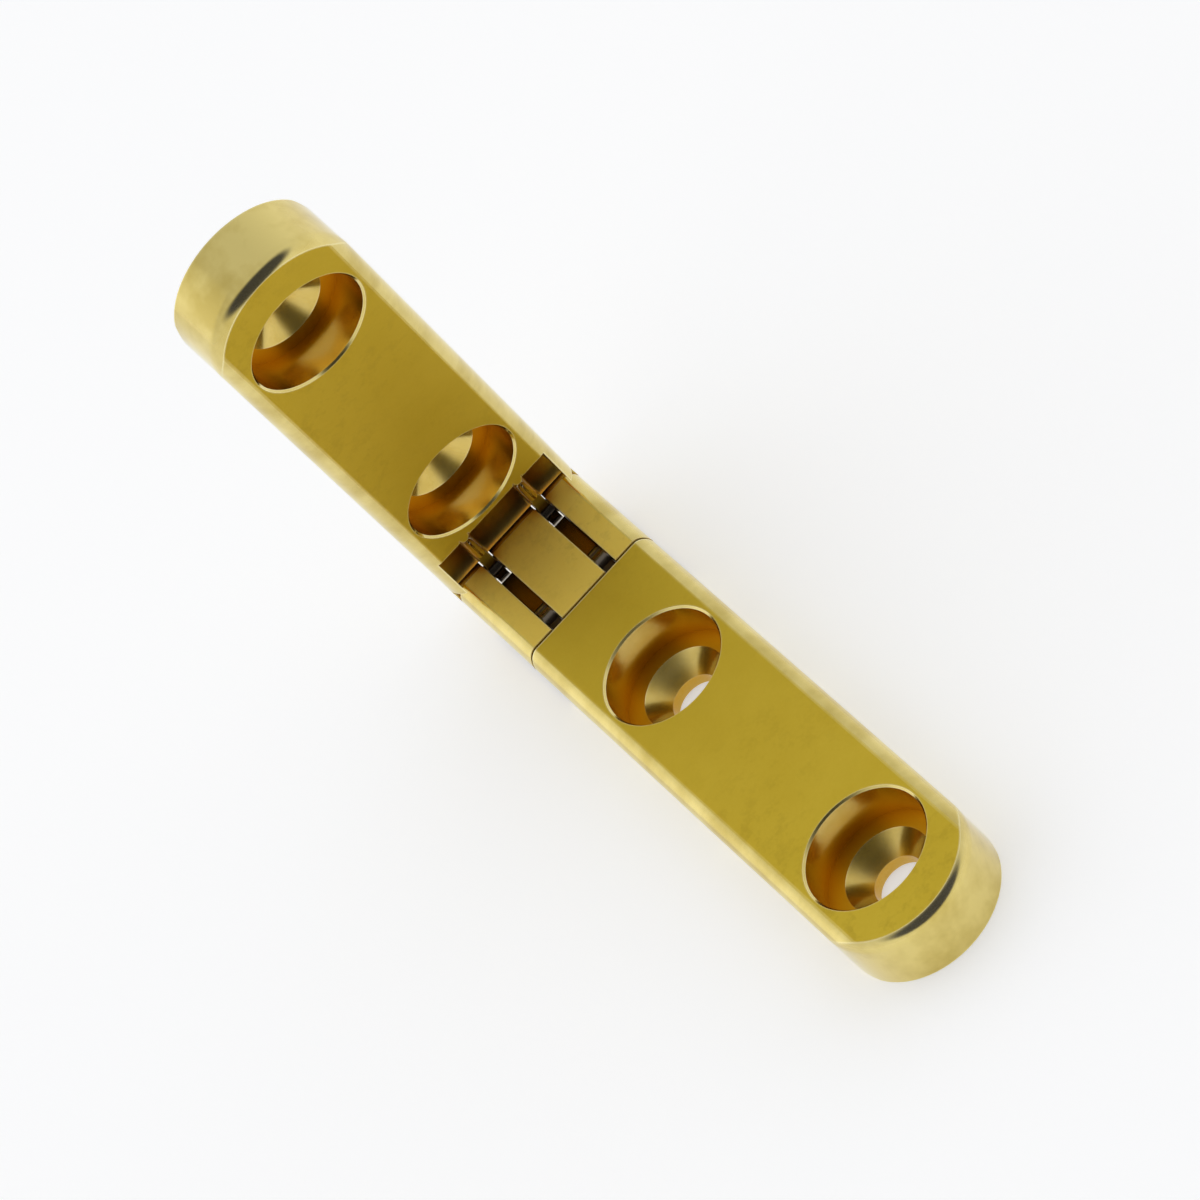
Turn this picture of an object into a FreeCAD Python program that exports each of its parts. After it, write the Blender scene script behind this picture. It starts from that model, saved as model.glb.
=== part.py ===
"""Two-pin folding hinge: two round-ended brass bars joined by three links on two pins.

The right leaf lies on Z = 0 with its length along X. The links are in line with it,
and the left leaf stands folded up over them, as the hinge is shown at rest.
The origin is midway between the right leaf's screw holes, on its underside.
"""
import FreeCAD
import Part
import math
import os

# Leaf bar
LEAF_WIDTH = 12.0
LEAF_THICKNESS = 5.3
LEAF_LENGTH = 45.0
TOP_EDGE_RADIUS = 1.1
BOTTOM_EDGE_BREAK = 0.4

# Screw holes
INNER_HOLE_DISTANCE = 10.6
HOLE_SPACING = 26.4
COUNTERBORE_DIAMETER = 9.2
COUNTERBORE_DEPTH = 3.0
RIM_CHAMFER = 0.14
COUNTERSINK_DIAMETER = 6.6
COUNTERSINK_ANGLE = 90.0
SCREW_HOLE_DIAMETER = 3.8

# Links and pins
LINK_SPAN = 14.1
CENTER_LINK_WIDTH = 4.3
SLOT_WIDTH = 1.1
LINK_FOOT_RADIUS = 0.4
LINK_CORNER_RADIUS = 0.45
LINK_EYE_RADIUS = 1.1
LINK_STEP_REACH = 0.9
LINK_TAPER_LENGTH = 3.2
SPACER_RIB_HEIGHT = 3.2
PIN_DIAMETER = 1.3
PIN_DEPTH = 1.75
KNUCKLE_RADIUS = 1.15
KNUCKLE_WEB_TOP = 0.5

# Scooped pockets at the left leaf's inner end
TONGUE_REACH = 0.08
POCKET_RADIUS = 4.9
POCKET_RIM_WALL = 0.5
POCKET_SIDE_WALL = 0.7
RIDGE_DIP = 1.1
RIDGE_RADIUS = 0.4

# Motion
REST_FOLD = 108.0
FOLD_LIMIT = 120.0

# Clearances
PIN_CLEARANCE = 0.04
PLATE_SIDE_CLEARANCE = 0.1
RIB_SIDE_CLEARANCE = 0.02
LINK_END_CLEARANCE = 0.2

# Sizes that follow from the ones above
PIN_HEIGHT = LEAF_THICKNESS - PIN_DEPTH
LIP_REACH = PIN_DEPTH * math.tan(math.radians(FOLD_LIMIT / 2))
SCOOP_RADIUS = math.hypot(LIP_REACH, PIN_DEPTH)
LINK_END_RADIUS = SCOOP_RADIUS - LINK_END_CLEARANCE
LINK_TOP_REACH = math.sqrt(LINK_END_RADIUS**2 - PIN_DEPTH**2)
TONGUE_THICKNESS = PIN_HEIGHT - LINK_EYE_RADIUS - LINK_END_CLEARANCE
PIN_SPACING = LINK_SPAN - 2 * LIP_REACH
PLATE_THICKNESS = SLOT_WIDTH - 2 * PLATE_SIDE_CLEARANCE
PLATE_Y = CENTER_LINK_WIDTH / 2 + SLOT_WIDTH / 2
OUTER_LINK_Y = CENTER_LINK_WIDTH / 2 + SLOT_WIDTH
GAP_X = -(INNER_HOLE_DISTANCE + HOLE_SPACING / 2)
RIGHT_PIN_X = GAP_X - LIP_REACH
LEFT_PIN_X = RIGHT_PIN_X - PIN_SPACING
CUT_MARGIN = 1.0

VECTOR = FreeCAD.Vector
ALONG_Y = VECTOR(0, 1, 0)
UP = VECTOR(0, 0, 1)


def cylinder_y(radius, x, z, y_start, length):
    """Round bar along Y, such as a pin or its hole."""
    return Part.makeCylinder(radius, length, VECTOR(x, y_start, z), ALONG_Y)


def leaf_bar(start_x):
    """Bar rounded along its upper edges and broken along the lower, milled half-round at its end."""
    half = LEAF_WIDTH / 2
    end_center = LEAF_LENGTH - half
    bar = Part.makeBox(LEAF_LENGTH - start_x, LEAF_WIDTH, LEAF_THICKNESS, VECTOR(start_x, -half, 0))
    for side in (-half, half):
        bar = bar.makeFillet(TOP_EDGE_RADIUS, long_edges(bar, side, LEAF_THICKNESS))
        bar = bar.makeChamfer(BOTTOM_EDGE_BREAK, long_edges(bar, side, 0))
    outline = Part.Wire([
        Part.makeLine(VECTOR(start_x, -half, 0), VECTOR(end_center, -half, 0)),
        Part.Arc(
            VECTOR(end_center, -half, 0), VECTOR(LEAF_LENGTH, 0, 0), VECTOR(end_center, half, 0)
        ).toShape(),
        Part.makeLine(VECTOR(end_center, half, 0), VECTOR(start_x, half, 0)),
        Part.makeLine(VECTOR(start_x, half, 0), VECTOR(start_x, -half, 0)),
    ])
    return bar.common(Part.Face(outline).extrude(UP * LEAF_THICKNESS))


def long_edges(shape, y, z):
    """Straight edges along X at this Y and Z."""
    chosen = []
    for edge in shape.Edges:
        box = edge.BoundBox
        if max(abs(box.YMin - y), abs(box.YMax - y), abs(box.ZMin - z), abs(box.ZMax - z)) < 1e-6:
            chosen.append(edge)
    return chosen


def screw_hole(x):
    """Counterbore with a broken rim, a flat ledge, a countersink and the through hole."""
    top = LEAF_THICKNESS
    bore_radius = COUNTERBORE_DIAMETER / 2
    sink_radius = COUNTERSINK_DIAMETER / 2
    hole_radius = SCREW_HOLE_DIAMETER / 2
    ledge = top - COUNTERBORE_DEPTH
    cone_depth = (sink_radius - hole_radius) / math.tan(math.radians(COUNTERSINK_ANGLE / 2))
    profile = Part.makePolygon([
        VECTOR(0, 0, -CUT_MARGIN),
        VECTOR(hole_radius, 0, -CUT_MARGIN),
        VECTOR(hole_radius, 0, ledge - cone_depth),
        VECTOR(sink_radius, 0, ledge),
        VECTOR(bore_radius, 0, ledge),
        VECTOR(bore_radius, 0, top - RIM_CHAMFER),
        VECTOR(bore_radius + RIM_CHAMFER, 0, top),
        VECTOR(bore_radius + RIM_CHAMFER, 0, top + CUT_MARGIN),
        VECTOR(0, 0, top + CUT_MARGIN),
        VECTOR(0, 0, -CUT_MARGIN),
    ])
    hole = Part.Face(profile).revolve(VECTOR(0, 0, 0), UP, 360)
    hole.translate(VECTOR(x, 0, 0))
    return hole


def knuckle_plate(pin_x, y_center):
    """Thin plate that reaches from the leaf's end into a slot and carries the pin."""
    y_start = y_center - PLATE_THICKNESS / 2
    reach = SCOOP_RADIUS + KNUCKLE_RADIUS / 2
    eye = cylinder_y(KNUCKLE_RADIUS, pin_x, PIN_HEIGHT, y_start, PLATE_THICKNESS)
    web_corner = VECTOR(pin_x, y_start, PIN_HEIGHT - KNUCKLE_RADIUS)
    web = Part.makeBox(reach, PLATE_THICKNESS, KNUCKLE_RADIUS + KNUCKLE_WEB_TOP, web_corner)
    return eye.fuse(web)


def link_room(pin_x, floor):
    """Room for the link ends: a round scoop about the pin and a square stop, above a floor height."""
    y_start = -LEAF_WIDTH / 2 - CUT_MARGIN
    width = LEAF_WIDTH + 2 * CUT_MARGIN
    corner = VECTOR(pin_x - CUT_MARGIN, y_start, floor)
    stop = Part.makeBox(SCOOP_RADIUS + CUT_MARGIN, width, PIN_HEIGHT - floor, corner)
    scoop = cylinder_y(SCOOP_RADIUS, pin_x, PIN_HEIGHT, y_start, width)
    above = Part.makeBox(2 * SCOOP_RADIUS + CUT_MARGIN, width, 2 * LEAF_THICKNESS, corner)
    return scoop.common(above).fuse(stop)


def ridge_dip(x_start, x_end, y_center):
    """Cut that sinks a ridge in a shallow arc between two X positions and leaves its top half-round."""
    half_chord = (x_end - x_start) / 2
    arc_radius = (half_chord**2 + RIDGE_DIP**2) / (2 * RIDGE_DIP)
    center_x = x_start + half_chord
    center_z = LEAF_THICKNESS - RIDGE_DIP + arc_radius
    wheel_radius = arc_radius + RIDGE_RADIUS
    wheel = cylinder_y(
        wheel_radius, center_x, center_z, y_center - PLATE_THICKNESS / 2, PLATE_THICKNESS
    )
    ring_center = VECTOR(center_x, y_center, center_z)
    return wheel.cut(Part.makeTorus(wheel_radius, RIDGE_RADIUS, ring_center, ALONG_Y))


def pocket_end():
    """Place where the scooped pockets run out on the flat, just short of the inner hole's rim."""
    rim_radius = COUNTERBORE_DIAMETER / 2 + RIM_CHAMFER
    return INNER_HOLE_DISTANCE - rim_radius - POCKET_RIM_WALL


def pockets():
    """Three scoops for the link ends and two shallower dips along the ridges between them."""
    end_x = pocket_end()
    center_z = TONGUE_THICKNESS + POCKET_RADIUS
    center_x = end_x - math.sqrt(POCKET_RADIUS**2 - (center_z - LEAF_THICKNESS)**2)
    inner_y = PLATE_Y - PLATE_THICKNESS / 2
    outer_y = PLATE_Y + PLATE_THICKNESS / 2
    outer_width = LEAF_WIDTH / 2 - POCKET_SIDE_WALL - outer_y
    spans = [(-inner_y, 2 * inner_y), (outer_y, outer_width), (-outer_y - outer_width, outer_width)]
    cuts = [cylinder_y(POCKET_RADIUS, center_x, center_z, start, width) for start, width in spans]
    ridge_start = KNUCKLE_RADIUS - LIP_REACH
    for y_center in (-PLATE_Y, PLATE_Y):
        cuts.append(ridge_dip(ridge_start, end_x - RIDGE_RADIUS, y_center))
    return cuts


def leaf(floor, cuts):
    """One leaf, flat, with its link gap at X = 0 and its round end along +X, less the given cuts."""
    pin_x = -LIP_REACH
    body = leaf_bar(pin_x - TONGUE_REACH).cut(link_room(pin_x, floor))
    body = body.fuse([knuckle_plate(pin_x, -PLATE_Y), knuckle_plate(pin_x, PLATE_Y)])
    pin_bore = cylinder_y(
        PIN_DIAMETER / 2 + PIN_CLEARANCE, pin_x, PIN_HEIGHT, -LEAF_WIDTH / 2, LEAF_WIDTH
    )
    holes = [screw_hole(INNER_HOLE_DISTANCE), screw_hole(INNER_HOLE_DISTANCE + HOLE_SPACING)]
    return body.cut([pin_bore] + holes + cuts).removeSplitter()


def link_profile():
    """Side of a link: flat top, right end round about its pin, left end stepped down to an eye."""
    step_x = LEFT_PIN_X + LINK_STEP_REACH
    eye_top = PIN_HEIGHT + math.sqrt(LINK_EYE_RADIUS**2 - LINK_STEP_REACH**2)
    eye_bottom = VECTOR(LEFT_PIN_X, 0, PIN_HEIGHT - LINK_EYE_RADIUS)
    step_top = VECTOR(step_x, 0, LEAF_THICKNESS)
    step_bottom = VECTOR(step_x, 0, eye_top)
    right_top = VECTOR(RIGHT_PIN_X + LINK_TOP_REACH, 0, LEAF_THICKNESS)
    right_side = RIGHT_PIN_X + LINK_END_RADIUS
    turn = math.asin(PIN_DEPTH / LINK_END_RADIUS) / 2
    bulge = VECTOR(LINK_END_RADIUS * math.cos(turn), 0, LINK_END_RADIUS * math.sin(turn))
    right_middle = VECTOR(RIGHT_PIN_X, 0, PIN_HEIGHT) + bulge
    foot = LINK_FOOT_RADIUS
    foot_slack = foot * (1 - math.sqrt(0.5))
    taper_end = VECTOR(LEFT_PIN_X + LINK_TAPER_LENGTH, 0, 0)
    taper_middle = VECTOR(LEFT_PIN_X + LINK_TAPER_LENGTH * 0.4, 0, eye_bottom.z * 0.3)
    return Part.Face(Part.Wire([
        Part.makeLine(step_top, right_top),
        Part.Arc(right_top, right_middle, VECTOR(right_side, 0, PIN_HEIGHT)).toShape(),
        Part.makeLine(VECTOR(right_side, 0, PIN_HEIGHT), VECTOR(right_side, 0, foot)),
        Part.Arc(
            VECTOR(right_side, 0, foot),
            VECTOR(right_side - foot_slack, 0, foot_slack),
            VECTOR(right_side - foot, 0, 0),
        ).toShape(),
        Part.makeLine(VECTOR(right_side - foot, 0, 0), taper_end),
        Part.Arc(taper_end, taper_middle, eye_bottom).toShape(),
        Part.Arc(eye_bottom, VECTOR(LEFT_PIN_X - LINK_EYE_RADIUS, 0, PIN_HEIGHT), step_bottom).toShape(),
        Part.makeLine(step_bottom, step_top),
    ]))


def link(y_start, width):
    """Link block cut from the side profile, before its edges are softened and its holes made."""
    block = link_profile()
    block.translate(ALONG_Y * y_start)
    return block.extrude(ALONG_Y * width)


def pin_holed(block):
    """The block with both pin holes through it."""
    holes = [cylinder_y(PIN_DIAMETER / 2, x, PIN_HEIGHT, -LEAF_WIDTH, 2 * LEAF_WIDTH)
             for x in (LEFT_PIN_X, RIGHT_PIN_X)]
    return block.cut(holes)


def spacer_ribs():
    """Low ribs that keep the outer links off the middle one, between the knuckle eyes."""
    half = CENTER_LINK_WIDTH / 2 + SLOT_WIDTH - RIB_SIDE_CLEARANCE
    start = LEFT_PIN_X + KNUCKLE_RADIUS + LINK_END_CLEARANCE
    end = RIGHT_PIN_X - KNUCKLE_RADIUS - LINK_END_CLEARANCE
    room = Part.makeBox(end - start, 2 * half, SPACER_RIB_HEIGHT, VECTOR(start, -half, 0))
    return link(-half, 2 * half).common(room)


def center_link():
    """Middle link with spacer ribs along its sides and the upright corners of its right end rounded."""
    half = CENTER_LINK_WIDTH / 2
    left_side = LEFT_PIN_X - LINK_EYE_RADIUS - CUT_MARGIN
    right_side = RIGHT_PIN_X + LINK_END_RADIUS
    plan_corner = VECTOR(left_side, -half, -CUT_MARGIN)
    plan_height = LEAF_THICKNESS + 2 * CUT_MARGIN
    plan = Part.makeBox(right_side - left_side, CENTER_LINK_WIDTH, plan_height, plan_corner)
    corners = [edge for edge in plan.Edges if edge.BoundBox.XMin > right_side - 1e-6
               and edge.BoundBox.ZLength > LEAF_THICKNESS]
    plan = plan.makeFillet(LINK_CORNER_RADIUS, corners)
    return pin_holed(link(-half, CENTER_LINK_WIDTH).common(plan).fuse(spacer_ribs()).removeSplitter())


def outer_link(side):
    """Outer link on the side of +Y or -Y, its long outer edges rounded like the leaf's."""
    outer_y = LEAF_WIDTH / 2
    width = outer_y - OUTER_LINK_Y
    block = link(OUTER_LINK_Y if side > 0 else -outer_y, width)
    block = block.makeFillet(TOP_EDGE_RADIUS, long_edges(block, side * outer_y, LEAF_THICKNESS))
    low_edge = VECTOR(GAP_X - LINK_SPAN, side * outer_y, 0)
    inward = ALONG_Y * (-side * BOTTOM_EDGE_BREAK)
    wedge = Part.makePolygon([low_edge, low_edge + inward, low_edge + UP * BOTTOM_EDGE_BREAK, low_edge])
    return pin_holed(block.cut(Part.Face(wedge).extrude(VECTOR(LINK_SPAN, 0, 0))))


def pin(x):
    """Pivot pin, as long as the links are wide, ends flush with the outer links."""
    return cylinder_y(PIN_DIAMETER / 2, x, PIN_HEIGHT, -LEAF_WIDTH / 2, LEAF_WIDTH)


def right_leaf():
    """Leaf laid with its gap end towards the links."""
    shape = leaf(-CUT_MARGIN, [])
    shape.translate(VECTOR(GAP_X, 0, 0))
    return shape


def left_leaf():
    """Leaf with scooped pockets over a tongue, turned end for end and folded up about the left pin."""
    shape = leaf(TONGUE_THICKNESS, pockets())
    shape.rotate(VECTOR(0, 0, 0), UP, 180)
    shape.translate(VECTOR(GAP_X - LINK_SPAN, 0, 0))
    shape.rotate(VECTOR(LEFT_PIN_X, 0, PIN_HEIGHT), ALONG_Y, REST_FOLD)
    return shape


parts = {
    "right_leaf": right_leaf(),
    "left_leaf": left_leaf(),
    "center_link": center_link(),
    "upper_outer_link": outer_link(1),
    "lower_outer_link": outer_link(-1),
    "right_pin": pin(RIGHT_PIN_X),
    "left_pin": pin(LEFT_PIN_X),
}

os.makedirs("parts", exist_ok=True)
for name, shape in parts.items():
    shape.exportStep("parts/" + name + ".step")
    print(name, shape.isValid(), len(shape.Solids), round(shape.Volume, 2))
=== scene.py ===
import math
import bpy
import numpy as np
from mathutils import Matrix, Vector

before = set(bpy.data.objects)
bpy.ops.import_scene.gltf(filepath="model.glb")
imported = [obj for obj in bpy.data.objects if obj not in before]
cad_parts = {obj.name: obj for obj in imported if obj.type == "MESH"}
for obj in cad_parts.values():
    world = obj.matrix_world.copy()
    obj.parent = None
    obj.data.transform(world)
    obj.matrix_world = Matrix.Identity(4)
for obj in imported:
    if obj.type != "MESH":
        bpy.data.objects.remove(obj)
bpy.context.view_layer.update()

# The two leaves are solid brass bars with a round outer end, cast or cut from bar.
# Their edges and ends are buffed bright, the long flats are ground and left satin, and the
# sunk holes get a painted shade of deeper orange. Screws through those holes fix the
# leaves into two mortises.
MM = 0.001


def linear(hex_colour):
    """sRGB hex colour to linear RGBA: each channel through the sRGB curve."""
    values = np.array([int(hex_colour[i:i + 2], 16) for i in (1, 3, 5)]) / 255
    curve = np.where(values <= 0.04045, values / 12.92, ((values + 0.055) / 1.055) ** 2.4)
    return [float(value) for value in curve] + [1.0]


def add_node(tree, kind, settings, links):
    """Add one node, set its properties and input values, and link its inputs to other sockets."""
    node = tree.nodes.new(kind)
    for name, value in settings.items():
        if isinstance(name, str) and hasattr(node, name):
            setattr(node, name, value)
        else:
            node.inputs[name].default_value = value
    for name, source in links.items():
        tree.links.new(source, node.inputs[name])
    return node


def buffed_brass(name, flat_normal, flat_colours, flat_roughness, mottle_depth, shade_reach,
                 black_below, own_shape_only):
    """Buffed brass with a satin ground flat, which lies where the surface faces flat_normal.

    The flat's specks mix in by mottle_depth at most. A place is a hollow by how much of the open
    it sees within shade_reach. Hollows get a painted shade of deeper orange, and a painted black
    shade where that share falls under black_below. With own_shape_only, other pieces and the
    floor don't hide the open.
    """
    material = bpy.data.materials.new(name)
    material.use_nodes = True
    tree = material.node_tree
    shader = tree.nodes["Principled BSDF"]
    shader.inputs["Metallic"].default_value = 1.0
    place = add_node(tree, "ShaderNodeTexCoord", {}, {})

    # The grinder leaves the flat duller than the buffed rest, so it shows no clear mirror image.
    facing = add_node(tree, "ShaderNodeVectorMath", {"operation": "DOT_PRODUCT", 1: flat_normal},
                      {0: place.outputs["Normal"]})
    ground = add_node(tree, "ShaderNodeMapRange", {"From Min": 0.990, "From Max": 0.999},
                      {"Value": facing.outputs["Value"]})

    # Cloudy handling marks some 5 mm across turn the yellow a little browner and smudge
    # the buffed walls.
    clouds = add_node(tree, "ShaderNodeTexNoise",
                      {"Scale": 1 / (5 * MM), "Detail": 4.0, "Roughness": 0.6},
                      {"Vector": place.outputs["Object"]})
    smudges = add_node(tree, "ShaderNodeMapRange", {"From Min": 0.40, "From Max": 0.62},
                       {"Value": clouds.outputs["Fac"]})
    buffed_tint = add_node(tree, "ShaderNodeMix",
                           {"data_type": "RGBA", 6: linear("#E3CF7C"), 7: linear("#CDB65C")},
                           {0: smudges.outputs["Result"]})

    # The flat was ground after the buffing, and its bare metal is the deeper yellow.
    light_ground, dark_ground = flat_colours
    ground_tint = add_node(tree, "ShaderNodeMix",
                           {"data_type": "RGBA", 6: linear(light_ground), 7: linear(dark_ground)},
                           {0: clouds.outputs["Fac"]})

    # Fingers and damp leave it mottled: darker specks about 1.2 mm across, thick in some places.
    specks = add_node(tree, "ShaderNodeTexNoise",
                      {"Scale": 1 / (1.2 * MM), "Detail": 3.0, "Roughness": 0.65},
                      {"Vector": place.outputs["Object"]})
    patches = add_node(tree, "ShaderNodeTexNoise", {"Scale": 1 / (14 * MM), "Detail": 1.0},
                       {"Vector": place.outputs["Object"]})
    speck_depth = add_node(tree, "ShaderNodeMapRange",
                           {"From Min": 0.50, "From Max": 0.66, "To Max": mottle_depth},
                           {"Value": specks.outputs["Fac"]})
    patch_depth = add_node(tree, "ShaderNodeMapRange", {"From Min": 0.40, "From Max": 0.62},
                           {"Value": patches.outputs["Fac"]})
    mottle = add_node(tree, "ShaderNodeMath", {"operation": "MULTIPLY"},
                      {0: speck_depth.outputs["Result"], 1: patch_depth.outputs["Result"]})
    mottled_tint = add_node(tree, "ShaderNodeMix", {"data_type": "RGBA", 7: linear("#B4962B")},
                            {0: mottle.outputs["Value"], 6: ground_tint.outputs[2]})
    tint = add_node(tree, "ShaderNodeMix", {"data_type": "RGBA"},
                    {0: ground.outputs["Result"], 6: buffed_tint.outputs[2],
                     7: mottled_tint.outputs[2]})

    # Grinding grit about 0.12 mm apart is drawn 0.3 mm apart, as coarse as it needs to show.
    grit = add_node(tree, "ShaderNodeTexNoise",
                    {"Scale": 1 / (0.3 * MM), "Detail": 3.0, "Roughness": 0.7},
                    {"Vector": place.outputs["Object"]})
    buffed = add_node(tree, "ShaderNodeMapRange", {"To Min": 0.07, "To Max": 0.19},
                      {"Value": clouds.outputs["Fac"]})
    satin_spread = 0.06
    satin = add_node(tree, "ShaderNodeMapRange",
                     {"To Min": flat_roughness - satin_spread,
                      "To Max": flat_roughness + satin_spread},
                     {"Value": grit.outputs["Fac"]})
    gloss = add_node(tree, "ShaderNodeMix", {"data_type": "FLOAT"},
                     {0: ground.outputs["Result"], 2: buffed.outputs["Result"],
                      3: satin.outputs["Result"]})

    # Edges rub bright: the rounded normal leaves the true one only close to an edge.
    rounded = add_node(tree, "ShaderNodeBevel", {"samples": 6, "Radius": 0.2 * MM}, {})
    true = add_node(tree, "ShaderNodeNewGeometry", {}, {})
    bend = add_node(tree, "ShaderNodeVectorMath", {"operation": "DOT_PRODUCT"},
                    {0: rounded.outputs["Normal"], 1: true.outputs["Normal"]})
    worn = add_node(tree, "ShaderNodeMapRange", {"From Min": 0.995, "From Max": 0.93},
                    {"Value": bend.outputs["Value"]})
    rubbed = add_node(tree, "ShaderNodeMix", {"data_type": "RGBA", 7: linear("#F2E4A4")},
                      {0: worn.outputs["Result"], 6: tint.outputs[2]})

    # Holes and pockets, which see little of the open, get a painted shade of deeper orange.
    open_sky = add_node(tree, "ShaderNodeAmbientOcclusion",
                        {"samples": 6, "only_local": own_shape_only, "Distance": shade_reach}, {})
    hollow = add_node(tree, "ShaderNodeMapRange", {"From Min": 0.92, "From Max": 0.66},
                      {"Value": open_sky.outputs["AO"]})
    hollow_shaded = add_node(tree, "ShaderNodeMix", {"data_type": "RGBA", 7: linear("#D6A01A")},
                         {0: hollow.outputs["Result"], 6: rubbed.outputs[2]})

    # The narrow slots and the pockets' corners, which see even less of the open, get a painted
    # near-black shade.
    black_fade = 0.28
    cleft_shade = add_node(tree, "ShaderNodeMapRange",
                     {"From Min": black_below, "From Max": black_below - black_fade},
                     {"Value": open_sky.outputs["AO"]})
    colour = add_node(tree, "ShaderNodeMix", {"data_type": "RGBA", 7: linear("#1E140A")},
                      {0: cleft_shade.outputs["Result"], 6: hollow_shaded.outputs[2]})
    tree.links.new(colour.outputs[2], shader.inputs["Base Color"])
    finish = add_node(tree, "ShaderNodeMix", {"data_type": "FLOAT", 3: 0.34},
                      {0: hollow.outputs["Result"], 2: gloss.outputs[0]})
    tree.links.new(finish.outputs[0], shader.inputs["Roughness"])

    # The buffed outside keeps a clear lacquer, which pales it at a slant. The grinder took it
    # off the flat, and the hollows never had it.
    bare = add_node(tree, "ShaderNodeMath", {"operation": "MAXIMUM"},
                    {0: ground.outputs["Result"], 1: hollow.outputs["Result"]})
    lacquer = add_node(tree, "ShaderNodeMapRange", {"To Min": 0.6, "To Max": 0.0},
                       {"Value": bare.outputs["Value"]})
    tree.links.new(lacquer.outputs["Result"], shader.inputs["Coat Weight"])
    shader.inputs["Coat Roughness"].default_value = 0.08

    # The grit stands out by a few thousandths of a millimetre, so the metal glitters a little.
    relief = add_node(tree, "ShaderNodeBump", {"Strength": 0.25, "Distance": 0.004 * MM},
                      {"Height": grit.outputs["Fac"], "Normal": rounded.outputs["Normal"]})
    relief.name = "relief"
    tree.links.new(relief.outputs["Normal"], shader.inputs["Normal"])
    return material


def roll_end_rim(material, flat_normal, flat_height, along, round_start):
    """Lean the end wall's normal to the flat near the rim, as buffing rolls the rim over.

    The lean grows evenly from 0 at roll_depth under the flat to full_lean flat normals at the rim.
    It holds past round_start, measured along the leaf, where the wall faces outwards.
    """
    roll_depth = 1.6 * MM
    full_lean = 1.1
    tree = material.node_tree
    place = add_node(tree, "ShaderNodeTexCoord", {}, {})
    level = add_node(tree, "ShaderNodeVectorMath", {"operation": "DOT_PRODUCT", 1: flat_normal},
                     {0: place.outputs["Object"]})
    near_rim = add_node(tree, "ShaderNodeMapRange",
                        {"From Min": flat_height - roll_depth, "From Max": flat_height,
                         "To Max": full_lean},
                        {"Value": level.outputs["Value"]})
    facing = add_node(tree, "ShaderNodeVectorMath", {"operation": "DOT_PRODUCT", 1: flat_normal},
                      {0: place.outputs["Normal"]})
    slope = add_node(tree, "ShaderNodeMath", {"operation": "ABSOLUTE"},
                     {0: facing.outputs["Value"]})
    upright = add_node(tree, "ShaderNodeMapRange", {"From Min": 0.10, "From Max": 0.02},
                       {"Value": slope.outputs["Value"]})
    reach = add_node(tree, "ShaderNodeVectorMath", {"operation": "DOT_PRODUCT", 1: along},
                     {0: place.outputs["Object"]})
    past_start = add_node(tree, "ShaderNodeMath", {"operation": "GREATER_THAN", 1: round_start},
                          {0: reach.outputs["Value"]})
    outwards = add_node(tree, "ShaderNodeVectorMath", {"operation": "DOT_PRODUCT", 1: along},
                        {0: place.outputs["Normal"]})
    outer_side = add_node(tree, "ShaderNodeMath", {"operation": "GREATER_THAN", 1: 0.0},
                          {0: outwards.outputs["Value"]})
    on_end = add_node(tree, "ShaderNodeMath", {"operation": "MULTIPLY"},
                      {0: past_start.outputs["Value"], 1: outer_side.outputs["Value"]})
    on_wall = add_node(tree, "ShaderNodeMath", {"operation": "MULTIPLY"},
                       {0: on_end.outputs["Value"], 1: upright.outputs["Result"]})
    roll = add_node(tree, "ShaderNodeMath", {"operation": "MULTIPLY"},
                    {0: near_rim.outputs["Result"], 1: on_wall.outputs["Value"]})
    lean = add_node(tree, "ShaderNodeVectorMath", {"operation": "SCALE", 0: flat_normal},
                    {"Scale": roll.outputs["Value"]})
    leaning = add_node(tree, "ShaderNodeVectorMath", {"operation": "ADD"},
                       {0: place.outputs["Normal"], 1: lean.outputs["Vector"]})
    rolled = add_node(tree, "ShaderNodeVectorTransform",
                      {"vector_type": "NORMAL", "convert_from": "OBJECT", "convert_to": "WORLD"},
                      {"Vector": leaning.outputs["Vector"]})
    tree.links.new(rolled.outputs["Vector"], tree.nodes["relief"].inputs["Normal"])


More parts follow.
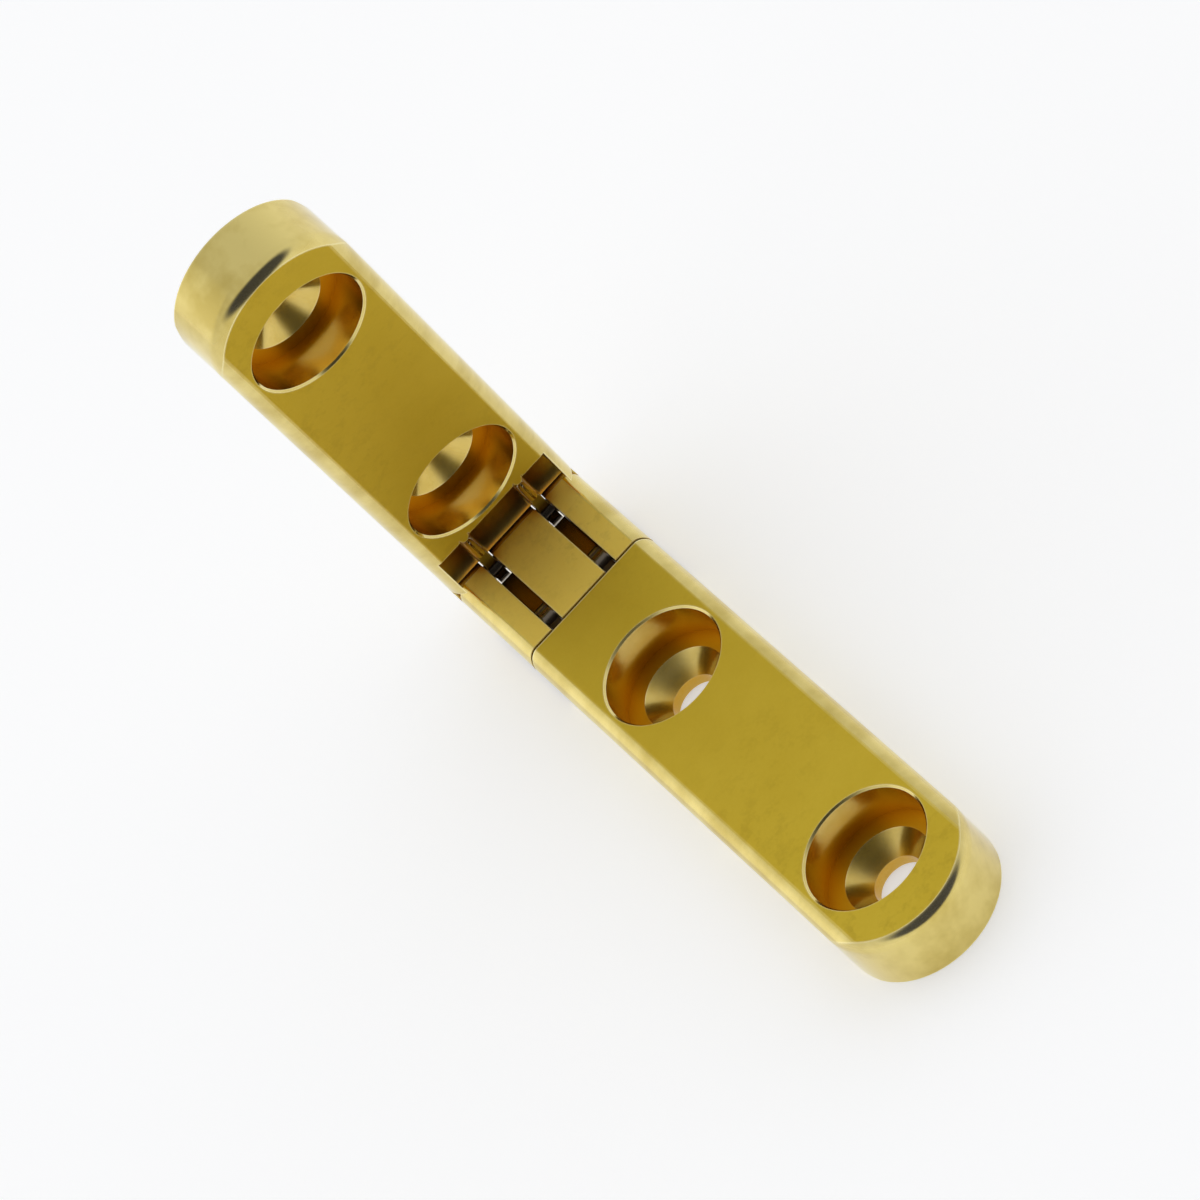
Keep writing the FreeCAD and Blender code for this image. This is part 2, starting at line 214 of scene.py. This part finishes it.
def shade_plates(material, along, plate_start):
    """Paint shade on the knuckle plates in the slots: what lies before plate_start, as wide as the
    plates.

    Along the leaf the painted shade thickens evenly over plate_shade_fade. The plates' middles lie
    plate_side off the middle plane, and plate_half takes in half a plate's thickness. The height
    isn't looked at, so the painted shade also marks the left leaf's inner end under its plates.
    """
    plate_shade_fade = 0.3 * MM
    plate_side = 2.7 * MM
    plate_half = 0.47 * MM
    tree = material.node_tree
    shader = tree.nodes["Principled BSDF"]
    brass = shader.inputs["Base Color"].links[0].from_socket
    place = add_node(tree, "ShaderNodeTexCoord", {}, {})
    reach = add_node(tree, "ShaderNodeVectorMath", {"operation": "DOT_PRODUCT", 1: along},
                     {0: place.outputs["Object"]})
    in_slot = add_node(tree, "ShaderNodeMapRange",
                       {"From Min": plate_start, "From Max": plate_start - plate_shade_fade},
                       {"Value": reach.outputs["Value"]})
    across = add_node(tree, "ShaderNodeSeparateXYZ", {}, {"Vector": place.outputs["Object"]})
    off_middle = add_node(tree, "ShaderNodeMath", {"operation": "ABSOLUTE"},
                          {0: across.outputs["Y"]})
    on_plate = add_node(tree, "ShaderNodeMath",
                        {"operation": "COMPARE", 1: plate_side, 2: plate_half},
                        {0: off_middle.outputs["Value"]})
    # The dark grey mixed in here is painted shade on the plates between the links.
    plate_shade = add_node(tree, "ShaderNodeMath", {"operation": "MULTIPLY"},
                   {0: in_slot.outputs["Result"], 1: on_plate.outputs["Value"]})
    plate_shaded = add_node(tree, "ShaderNodeMix", {"data_type": "RGBA", 7: linear("#6A6052")},
                     {0: plate_shade.outputs["Value"], 6: brass})
    tree.links.new(plate_shaded.outputs[2], shader.inputs["Base Color"])


def dress(node, material):
    """Give a solid of the frame its finish."""
    slots = bpy.data.objects[node].data.materials
    slots.clear()
    slots.append(material)


# The right leaf lies on the floor with its round end towards +X. Its flat is one thickness up,
# and its knuckle plates start at the gap to the links.
leaf_shade_reach = 4 * MM
right_flat = (0.0, 0.0, 1.0)
right_along = (1.0, 0.0, 0.0)
leaf_thickness = 5.3 * MM
right_round_start = 15.2 * MM
right_plate_start = -23.8 * MM
right_brass = buffed_brass("ground_brass_right", right_flat, ("#E4CC4A", "#D8BE3A"),
                           flat_roughness=0.70, mottle_depth=0.25, shade_reach=leaf_shade_reach,
                           black_below=0.38, own_shape_only=True)
roll_end_rim(right_brass, right_flat, leaf_thickness, right_along, right_round_start)
shade_plates(right_brass, right_along, right_plate_start)
dress("right_leaf", right_brass)

# The left leaf stands folded by this angle, so its flat faces that far round from upright.
# Its places are measured from the left pin: how far up the flat lies, and how far along the
# leaf the round end and the plates' eyes start.
rest_fold = math.radians(108.0)
left_flat = (math.sin(rest_fold), 0.0, math.cos(rest_fold))
left_along = (-math.cos(rest_fold), 0.0, math.sin(rest_fold))
left_pin_place = np.array([-34.869, 0.0, 3.55]) * MM
pin_to_flat = 1.75 * MM
pin_to_leaf_end = 3.031 * MM
straight_length = 39.0 * MM
pin_to_round = pin_to_leaf_end + straight_length
pin_to_plate_start = 1.4 * MM
left_pin_reach = float(np.dot(left_pin_place, left_along))
left_flat_height = float(np.dot(left_pin_place, left_flat)) + pin_to_flat
# The left leaf's flat colours are painted darker than the right leaf's: painted shade on its
# leaning flat.
left_shaded_brass = buffed_brass("ground_brass_left_shaded", left_flat, ("#DABE40", "#CDB030"),
                          flat_roughness=0.60, mottle_depth=0.25, shade_reach=leaf_shade_reach,
                          black_below=0.38, own_shape_only=True)
roll_end_rim(left_shaded_brass, left_flat, left_flat_height, left_along, left_pin_reach + pin_to_round)
shade_plates(left_shaded_brass, left_along, left_pin_reach + pin_to_plate_start)
dress("left_leaf", left_shaded_brass)

# The three links are brass blocks, sawn from one bar and milled to the same height.
# They sit side by side on both pins and carry one leaf from the other.
link_top = (0.0, 0.0, 1.0)
# The links' colours are painted paler than the leaves' brass: painted light against the shade the
# leaning left leaf casts on them.
link_lit_brass = buffed_brass("milled_brass_lit", link_top, ("#FDEB84", "#F8E272"),
                          flat_roughness=0.85, mottle_depth=0.12, shade_reach=1.3 * MM,
                          black_below=0.66, own_shape_only=False)
for node in ("center_link", "upper_outer_link", "lower_outer_link"):
    dress(node, link_lit_brass)

# The two pins are short lengths of drawn steel wire, pressed through the links,
# cut flush and filed level with the outer links' sides.
pin_steel = bpy.data.materials.new("filed_steel")
pin_steel.use_nodes = True
pin_tree = pin_steel.node_tree
pin_shader = pin_tree.nodes["Principled BSDF"]
pin_shader.inputs["Metallic"].default_value = 1.0
pin_place = add_node(pin_tree, "ShaderNodeTexCoord", {}, {})

# File strokes run up and down the cut ends, about 0.15 mm apart.
strokes = add_node(pin_tree, "ShaderNodeMapping", {"Scale": (1.0, 1.0, 0.08)},
                   {"Vector": pin_place.outputs["Object"]})
filed = add_node(pin_tree, "ShaderNodeTexNoise", {"Scale": 1 / (0.15 * MM), "Detail": 2.0},
                 {"Vector": strokes.outputs["Vector"]})
pin_colour = add_node(pin_tree, "ShaderNodeMix",
                      {"data_type": "RGBA", 6: linear("#8F8C84"), 7: linear("#B9B4A6")},
                      {0: filed.outputs["Fac"]})
pin_gloss = add_node(pin_tree, "ShaderNodeMapRange", {"To Min": 0.22, "To Max": 0.42},
                     {"Value": filed.outputs["Fac"]})
pin_tree.links.new(pin_colour.outputs[2], pin_shader.inputs["Base Color"])
pin_tree.links.new(pin_gloss.outputs["Result"], pin_shader.inputs["Roughness"])
pin_relief = add_node(pin_tree, "ShaderNodeBump", {"Strength": 0.3, "Distance": 0.006 * MM},
                      {"Height": filed.outputs["Fac"]})
pin_tree.links.new(pin_relief.outputs["Normal"], pin_shader.inputs["Normal"])
dress("right_pin", pin_steel)
dress("left_pin", pin_steel)

# The floor is a sheet of white paper under the hinge. It takes the soft shadow,
# and a little white of its own lifts it to the paper white of a product picture.
floor_half = 2.0
floor_mesh = bpy.data.meshes.new("floor")
floor_x, floor_y = np.meshgrid([-floor_half, floor_half], [-floor_half, floor_half])
floor_points = np.stack([floor_x.ravel(), floor_y.ravel(), np.zeros(4)], axis=1)
floor_mesh.from_pydata(floor_points.tolist(), [], [(0, 1, 3, 2)])
floor = bpy.data.objects.new("floor", floor_mesh)
bpy.context.collection.objects.link(floor)
paper = bpy.data.materials.new("white_paper")
paper.use_nodes = True
paper_tree = paper.node_tree
paper_shader = paper_tree.nodes["Principled BSDF"]
paper_shader.inputs["Base Color"].default_value = linear("#F4F4F3")
paper_shader.inputs["Roughness"].default_value = 1.0
paper_shader.inputs["Specular IOR Level"].default_value = 0.0
paper_shader.inputs["Emission Color"].default_value = linear("#FFFFFF")
seen = add_node(paper_tree, "ShaderNodeLightPath", {}, {})
seen_or_mirrored = add_node(paper_tree, "ShaderNodeMath", {"operation": "MAXIMUM"},
                            {0: seen.outputs["Is Camera Ray"], 1: seen.outputs["Is Glossy Ray"]})
seen_at_all = add_node(paper_tree, "ShaderNodeMath", {"operation": "MAXIMUM"},
                       {0: seen_or_mirrored.outputs["Value"],
                        1: seen.outputs["Is Transmission Ray"]})
paper_lift = 0.37
lift = add_node(paper_tree, "ShaderNodeMapRange", {"To Max": paper_lift},
                {"Value": seen_at_all.outputs["Value"]})
paper_tree.links.new(lift.outputs["Result"], paper_shader.inputs["Emission Strength"])
floor_mesh.materials.append(paper)

# The studio is a white tent, brightest low down all round, with a dark opening low on the
# camera's side. The opening gives the dark crescents along the leaves' rounded end rims.
tent = bpy.data.worlds.new("white_tent")
bpy.context.scene.world = tent
tent.use_nodes = True
tent_tree = tent.node_tree
tent_background = tent_tree.nodes["Background"]
tent_place = add_node(tent_tree, "ShaderNodeTexCoord", {}, {})
opening_elevation = math.radians(28.0)
opening = (math.cos(opening_elevation), 0.0, math.sin(opening_elevation))
opening_size = (1.2, 0.95, 0.36)
off_center = add_node(tent_tree, "ShaderNodeVectorMath", {"operation": "SUBTRACT", 1: opening},
                      {0: tent_place.outputs["Generated"]})
in_widths = add_node(tent_tree, "ShaderNodeVectorMath",
                     {"operation": "DIVIDE", 1: opening_size}, {0: off_center.outputs["Vector"]})
towards = add_node(tent_tree, "ShaderNodeVectorMath", {"operation": "LENGTH"},
                   {0: in_widths.outputs["Vector"]})
dark = add_node(tent_tree, "ShaderNodeMapRange",
                {"interpolation_type": "SMOOTHSTEP", "From Min": 1.1, "From Max": 0.7,
                 "To Min": 1.0, "To Max": 0.06},
                {"Value": towards.outputs["Value"]})
height = add_node(tent_tree, "ShaderNodeSeparateXYZ", {},
                  {"Vector": tent_place.outputs["Generated"]})
roof = add_node(tent_tree, "ShaderNodeMapRange",
                {"From Min": 0.1, "From Max": 0.9, "To Min": 0.95, "To Max": 0.7},
                {"Value": height.outputs["Z"]})
tent_level = add_node(tent_tree, "ShaderNodeMath", {"operation": "MULTIPLY"},
                      {0: dark.outputs["Result"], 1: roof.outputs["Result"]})
tent_tree.links.new(tent_level.outputs["Value"], tent_background.inputs["Strength"])
tent_background.inputs["Color"].default_value = linear("#FBFCFF")

# One wide soft lamp behind the hinge brightens its near long edges and casts the shadow.
# It is a round softbox with a limited spread, so its mirror image in the brass has a soft edge.
side_lamp_data = bpy.data.lights.new("side_softbox", "AREA")
side_lamp_data.shape = "DISK"
side_lamp_data.size = 1.0
side_lamp_data.energy = 0.17
side_lamp_data.spread = math.radians(90.0)
side_lamp = bpy.data.objects.new("side_softbox", side_lamp_data)
side_lamp_aim = np.array([0.749, 0.567, -0.343])
side_lamp_distance = 0.62
side_lamp.location = (-side_lamp_distance * side_lamp_aim).tolist()
side_lamp.rotation_euler = Vector(side_lamp_aim.tolist()).to_track_quat("-Z", "Y").to_euler()
bpy.context.collection.objects.link(side_lamp)

# The camera looks along the hinge from its right end, from above and turned on its side,
# with a long lens. Right, down and view are the picture's axes, and the lens follows from
# its focal length in pixels of a 1200 pixel square picture.
picture_pixels = 1200
focal_pixels = 7570
camera_data = bpy.data.cameras.new("camera")
camera_data.sensor_width = 36.0
camera_data.lens = camera_data.sensor_width * focal_pixels / picture_pixels
camera_data.clip_start = 0.01
camera_right = np.array([0.4931, 0.6797, -0.5430])
camera_down = np.array([0.4427, -0.7333, -0.5160])
camera_view = np.array([-0.7489, 0.0140, -0.6625])
camera_place = np.array([366.5, -6.8, 349.3]) * MM
camera_matrix = np.eye(4)
camera_matrix[:3, :] = np.stack([camera_right, -camera_down, -camera_view, camera_place], axis=1)
camera = bpy.data.objects.new("camera", camera_data)
camera.matrix_world = Matrix(camera_matrix.tolist())
bpy.context.collection.objects.link(camera)
bpy.context.scene.camera = camera
bpy.context.scene.view_settings.view_transform = "Standard"
